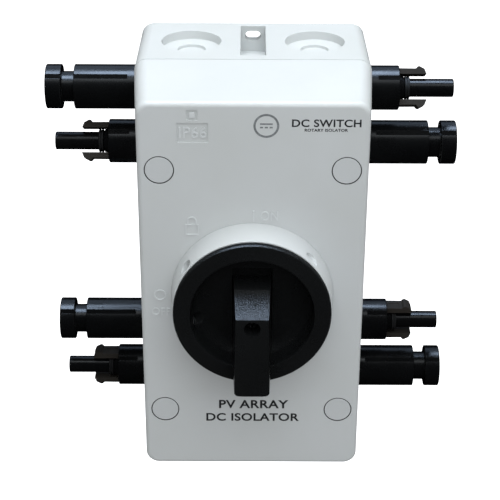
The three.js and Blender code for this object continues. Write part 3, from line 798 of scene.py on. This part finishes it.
def make_knob_shell():
    """Skirt, ring and bowl, turned about the handle's axis."""
    outline = [
        (0, 3.4), (20.5, 3.6), (25.6, 5.2, 3), (28, 8.8, 3), (28.6, 15.6), (SKIRT_R - 2, 15.6),
        (SKIRT_R - 2, SKIRT_FOOT), (SKIRT_R, SKIRT_FOOT), (SKIRT_R, RING_BACK), (RING_R, RING_BACK, 0.3),
        (RING_R, RING_EDGE, 0.3), (RING_FACE_R, RING_FACE, 0.4), (RIM_R, RING_FACE, 0.5),
        (27, 14, 5), (26, 9.6, 4), (22.5, 6.8, 6), (0, 5.8),
    ]
    return moved(lathe("knob", outline, ROUND), 0, 0, DEPTH)


def paint_ring_side_shade(obj):
    """Give the ring's side wall the second material: a matt finish, and a colour darker than the handle's,
    which is painted shade.
    """
    for polygon in obj.data.polygons:
        x, y, z = polygon.center
        is_side = RING_BACK - 0.1 < z - DEPTH < RING_EDGE and math.hypot(x, y) > RING_R - 0.2
        polygon.material_index = int(is_side)


def make_knob():
    """The handle: the bar stands in a channel in the bowl, over a square socket for the shaft."""
    def at(low, high):
        return DEPTH + low, DEPTH + high

    half = CHANNEL_HALF
    knob = make_knob_shell()
    add(knob, block((-half - 2, half + 2), (CHANNEL_BOTTOM - 2, CHANNEL_TOP + 1.6), at(SKIRT_FOOT, 5)))
    cut(knob, block((-half, half), (CHANNEL_BOTTOM, CHANNEL_TOP), at(CHANNEL_FLOOR, 40)))
    add(knob, make_bar())
    socket = SHAFT_SIDE / 2 + GAP
    holes = [deg - SWING_DEG for deg in OPEN_HOLES_DEG]
    cut(
        knob,
        block((-socket, socket), (-socket, socket), at(-1, 19.5)),
        cylinder(2.2, *at(18, 24), TINY),
        cylinder(SCREW_HOLE_R, *at(22.2, 40), SMALL),
        block((-4.75, 4.75), (26, 27.1), at(15.5, 21)),
        *[lock_bore(deg, 18, 36) for deg in holes],
    )
    with_bmesh(knob, clean)
    bevel(knob, 0.3, 40, 3)
    # the ring's side wall gets the matt, darker material: painted shade
    paint_ring_side_shade(knob)
    smooth(knob)
    return place(knob, "knob_moulding", "handle", "knob", "handle", MATERIALS["handle"],
                 MATERIALS["handle_side"])


def make_knob_screw():
    """A pan-head screw with a cross recess, down the hole in the handle's bar."""
    r, h, thread_r, tip = 2.9, 2.4, 1.9, -14
    screw = lathe("screw", [
        (0, tip), (thread_r * 0.5, tip), (thread_r, tip + thread_r), (thread_r, 0), (r, 0, 0.2),
        (r, h, 1.1), (0, h + 0.05),
    ], SMALL)
    arm, width, deep = r * 0.6, r * 0.17, h * 0.6
    for length, breadth in ((arm, width), (width, arm)):
        cut(screw, block((-length, length), (-breadth, breadth), (h - deep, h + BEYOND)))
    with_bmesh(screw, clean)
    bevel(screw, 0.2, 40, 3)
    smooth(moved(screw, 0, 0, DEPTH + 22.5))
    place(screw, "knob_screw_head", "handle", "knob_screw", "steel", MATERIALS["black_steel"])


# ---------------------------------------------------------------- connectors


def shank():
    """Profile of the threaded end inside the wall, up to the body's back face."""
    r = HOLE_R - GAP
    return [(WIRE_BORE, -13), (5, -13, 0.3), (5, -9.5), (r, -9.5, 0.3), (r, 0)]


def make_sleeve():
    """A long grip, a neck, and an end ring that takes the mating plug."""
    r = CONNECTOR_R
    neck0, neck1, end, neck_r, mouth_r, seat = 28.7, 34.6, 41.8, 7.05, 6.4, 20
    return lathe("sleeve", [
        *shank(), (r, 0, 0.8), (r, neck0, 0.35), (neck_r, neck0, 0.4), (neck_r, neck1, 0.4),
        (r, neck1, 0.35), (r, end, 0.5), (mouth_r, end, 0.35), (mouth_r, seat), (WIRE_BORE, seat),
    ], FINE)


def grip_notches(side):
    """A sawtooth cut along the front of a housing, and the same on its far side."""
    outside = CONNECTOR_R + 1.5
    corners = [
        (CONNECTOR_R, NOTCH_HIGH_DEG), (CONNECTOR_R - NOTCH_DEPTH, NOTCH_LOW_DEG),
        (outside, NOTCH_LOW_DEG), (outside, NOTCH_HIGH_DEG),
    ]
    outline = []
    for radius, degrees in corners:
        angle = math.radians(degrees)
        outline.append((-side * radius * math.cos(angle), radius * math.sin(angle)))
    far = [(-x, -y) for x, y in outline]
    return [prism(points, NOTCH_START, 50) for points in (outline, far)]


def latch_outline():
    """Side view of a latch arm: distance from the connector's axis, then along it."""
    root, step, peak, tip = 12.5, 21.6, 23.3, 26.6
    return fillet([
        (5.8, root), (8.5, root), (8.4, step, 0.4), (9.4, peak - 0.8, 0.25), (9.5, peak, 0.3),
        (8.3, tip - 1, 0.3), (5.8, tip, 0.15),
    ], 4)


def latch_arm(side):
    """A sprung arm with a barb at its end and a shallow groove along its back."""
    half = 4
    arm = prism(latch_outline(), -half, half)
    arm.data.transform(Matrix(((1, 0, 0, 0), (0, 0, -1, 0), (0, 1, 0, 0), (0, 0, 0, 1))))
    cut(arm, block((8.1, 9), (-1.6, 1.6), (14.8, 20.4)))
    bevel(arm, 0.2, 40, 3)
    return turned(arm, "Z", side * 90)


def make_plug():
    """A short body, a thin tube and two sprung latch arms."""
    r, face, tip = CONNECTOR_R, PLUG_FACE, 39.2
    tube_r, bore = 4.2, 2.5
    body = lathe("plug", [
        *shank(), (r, 0, 0.8), (r, face, 0.4), (5.8, face, 0.3), (5.2, face + 2.3, 0.2),
        (tube_r, face + 2.3, 0.3), (tube_r, tip, 0.5), (bore, tip, 0.2), (bore, face - 1),
        (WIRE_BORE, face - 1),
    ], FINE)
    return add(body, *[latch_arm(side) for side in SIDES])


def paint_arms(obj):
    """Give the latch arms the second material."""
    for polygon in obj.data.polygons:
        x, y, z = polygon.center
        polygon.material_index = int(z > PLUG_FACE + 0.6 and math.hypot(x, y) > 5.62)


def make_seal():
    """A seal with two lips round the foot of the plug's tube."""
    return lathe("seal", [
        (4.45, 16.5), (4.8, 16.5), (5.5, 16.75, 0.3), (5.5, 17.35, 0.3), (4.95, 17.7, 0.2),
        (5.5, 18.05, 0.3), (5.5, 18.65, 0.3), (4.8, 18.9), (4.45, 18.9),
    ])


def smooth_route(points, steps):
    """Points along a Catmull-Rom curve through the given ones."""
    path = []
    padded = [points[0] * 2 - points[1], *points, points[-1] * 2 - points[-2]]
    for i in range(1, len(padded) - 2):
        p0, p1, p2, p3 = padded[i - 1:i + 3]
        bend = 2 * p0 - 5 * p1 + 4 * p2 - p3
        twist = 3 * p1 - p0 - 3 * p2 + p3
        for k in range(steps):
            t = k / steps
            path.append(0.5 * ((2 * p1) + (p2 - p0) * t + bend * t * t + twist * t**3))
    path.append(points[-1])
    return path


def tube(path, radius, sides=16):
    """A round bar along a path, its end faces closed."""
    points, faces = [], []
    normal = Vector((0, 0, 1))
    for i, here in enumerate(path):
        ahead = path[min(i + 1, len(path) - 1)] - path[max(i - 1, 0)]
        ahead.normalize()
        normal = (normal - ahead * normal.dot(ahead)).normalized()
        other = ahead.cross(normal)
        for k in range(sides):
            angle = 2 * math.pi * k / sides
            points.append(here + (normal * math.cos(angle) + other * math.sin(angle)) * radius)
    for i in range(len(path) - 1):
        for k in range(sides):
            a, b = i * sides + k, i * sides + (k + 1) % sides
            faces.append((a, b, b + sides, a + sides))
    faces.append(tuple(range(sides)))
    faces.append(tuple(range(len(points) - sides, len(points))))
    return mesh_object("tube", points, faces)


def make_wire(side, y, deck_z):
    """Internal wire from a connector to its deck."""
    end, row = (1 if y > 0 else -1), abs(y)
    cx, tx = side * PLATE_X, side * TERMINAL_X
    route = [
        (cx + side * 10.6, y, CABLE_Z), (cx - side * 4, y, CABLE_Z), (cx - side * 14, y, CABLE_Z),
        (cx - side * 20, y, CABLE_Z),
        (side * (TERMINAL_X + 12), end * (row * 0.62 + 18), (CABLE_Z * 2 + deck_z) / 3),
        (tx + side * 1.5, end * (row * 0.25 + 29), (CABLE_Z + deck_z * 3) / 4),
        (tx, end * 30, deck_z), (tx, end * 19.3, deck_z),
    ]
    return tube(smooth_route([Vector(p) for p in route], 8), WIRE_R)


def make_contact(is_plug):
    """The turned contact: a round-nosed pin in a sleeve, a split socket in a plug's tube."""
    back = [(0, PIN_BACK), (PIN_R, PIN_BACK)]
    if not is_plug:
        return lathe("pin", [*back, (PIN_R, 22, 0.3), (1.6, 22.6), (1.6, 31, 1.5), (0, 31)], TINY)
    tip, bore, floor = 37.6, 1.45, 28.6
    socket = lathe("socket", [*back, (PIN_R, tip, 0.25), (bore, tip, 0.2), (bore, floor), (0, floor)], TINY)
    cut(socket, block((-0.2, 0.2), (-3, 3), (floor + 1, tip + BEYOND)))
    return socket


def add_connector(side, row, y):
    """One connector with its contact, its wire, and a plug's seal; plugs and sleeves take turns."""
    is_plug = (row % 2 == 1) == (side < 0)
    half = "left" if side < 0 else "right"
    where = f"{half}_{row + 1}"
    kind = "plug" if is_plug else "sleeve"
    body = make_plug() if is_plug else make_sleeve()
    if is_plug:
        turned(body, "Z", -side * (PLUG_ARM_DEG if y > 0 else 0))
    cut(body, *grip_notches(side))
    with_bmesh(body, clean)
    bevel(body, 0.15, 20, 2)
    if is_plug:
        paint_arms(body)

    def mount(obj):
        return moved(sideways(obj, side), side * PLATE_X, y, CABLE_Z)

    smooth(mount(body))
    place(body, f"{kind}_body_{where}", "enclosure", f"{kind}_connector_{where}", "connector",
          MATERIALS["connector"], MATERIALS["latch"])
    deck_z = DECK_Z + DECK_OF[half][row] * DECK_PITCH + DECK_THICK / 2
    wire = smooth(make_wire(side, y, deck_z), 50)
    place(wire, f"wire_{where}", "enclosure", f"lead_{where}", "cable", MATERIALS["cable"])
    contact = smooth(mount(make_contact(is_plug)))
    place(contact, f"contact_{where}", "enclosure", f"lead_{where}", None, MATERIALS["tin"])
    if is_plug:
        seal = smooth(mount(make_seal()))
        place(seal, f"seal_lips_{where}", "enclosure", f"plug_seal_{where}", "gasket", MATERIALS["rubber"])


# ---------------------------------------------------------------- CAD nodes that stay


def finish_nodes():
    """Materials for the CAD nodes that are shown as they are, by the start of their names."""
    by_name = {
        "lid_gasket": "rubber", "shaft_seal": "rubber", "lid_screw": "steel", "drive_shaft": "steel",
        "switch_bracket": "steel", "bracket_screw": "steel", "tie_bolt": "steel", "snap_spring": "steel",
        "contact_deck": "deck", "mechanism_housing": "deck", "contact_rotor": "rotor",
        "rotor_spindle": "rotor", "lock_nut": "connector",
    }
    for name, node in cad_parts.items():
        for start, material in by_name.items():
            if name.startswith(start):
                node.data.materials.clear()
                node.data.materials.append(MATERIALS[material])


# ---------------------------------------------------------------- camera, floor and light


def make_camera():
    """A long lens from in front and above."""
    data = bpy.data.cameras.new("camera")
    data.sensor_width = 36
    data.lens = 107.02
    data.clip_start, data.clip_end = 0.05, 100
    camera = bpy.data.objects.new("camera", data)
    bpy.context.scene.collection.objects.link(camera)
    yaw, pitch, roll = (math.radians(a) for a in (-0.117, 28.364, 0.295))
    aim = Matrix.Rotation(yaw, 4, "Z") @ Matrix.Rotation(math.pi / 2 - pitch, 4, "X")
    aim = aim @ Matrix.Rotation(roll, 4, "Z")
    camera.matrix_world = Matrix.Translation((-0.00225, -0.67207, 0.33608)) @ aim
    bpy.context.scene.camera = camera


def make_floor():
    """A wide white floor, which lights nothing and isn't seen in reflections."""
    size, level = 30, -0.62
    corners = [(-size, -size), (size, -size), (size, size), (-size, size)]
    floor = mesh_object("floor", [(x, y, level) for x, y in corners], [(0, 1, 2, 3)])
    nodes = Nodes("pale_floor")
    nodes.set(Base_Color=(0.86, 0.86, 0.86, 1), Roughness=0.9)
    nodes.set(Emission_Color=(1, 1, 1, 1), Emission_Strength=1.1)
    floor.data.materials.append(nodes.material)
    floor.visible_glossy = False
    floor.visible_diffuse = False


def area_light(name, centre, target, size, power, colour):
    data = bpy.data.lights.new(name, "AREA")
    data.shape = "RECTANGLE"
    data.size, data.size_y = size
    data.energy = power
    data.color = colour
    light = bpy.data.objects.new(name, data)
    bpy.context.scene.collection.objects.link(light)
    light.location = centre
    aim = Vector(target) - Vector(centre)
    light.rotation_mode = "QUATERNION"
    light.rotation_quaternion = aim.to_track_quat("-Z", "Y")
    return light


def make_light():
    """Soft fills without reflections, and boxes that are seen only as reflections."""
    world = bpy.data.worlds.new("studio")
    world.use_nodes = True
    background = world.node_tree.nodes["Background"]
    background.inputs["Color"].default_value = (0.97, 0.985, 1.0, 1)
    background.inputs["Strength"].default_value = 0.4
    world.cycles_visibility.glossy = False
    bpy.context.scene.world = world
    cool = (0.9, 0.96, 1.0)
    blue = (0.6, 0.76, 1.0)
    fills = [
        area_light("softbox", (0, 0.11, 1.2), (0, -0.03, 0.05), (0.9, 0.5), 9.4, cool),
        area_light("soft_top", (0, -0.57, 1.08), (0, -0.03, 0.05), (0.9, 0.7), 4, cool),
        area_light("front_fill", (0.35, -1.1, 1.0), (0, -0.09, 0), (1.6, 1.0), 8.2, cool),
    ]
    for light in fills:
        light.visible_glossy = False
    highlights = [
        area_light("strip", (-0.08, 0.1, 1.2), (0, -0.03, 0.05), (0.9, 0.42), 26, blue),
        area_light("glow", (0, 0.75, 0.95), (0, -0.03, 0.0), (1.2, 0.9), 3.5, blue),
        area_light("sheen", (0, -0.62, 1.08), (0, -0.03, 0.05), (0.9, 0.35), 2.4, cool),
    ]
    for light in highlights:
        light.visible_diffuse = False


def set_view():
    settings = bpy.context.scene.view_settings
    settings.view_transform = "Standard"
    settings.look = "None"


# ---------------------------------------------------------------- assembly

make_camera()
set_view()
make_floor()
make_light()
make_base()
make_lid()
make_caps()
make_raised_marks()
make_printed_marks()
make_knob()
make_knob_screw()
for side in (-1, 1):
    for row, y in enumerate(ROW_Y):
        add_connector(side, row, y)
finish_nodes()
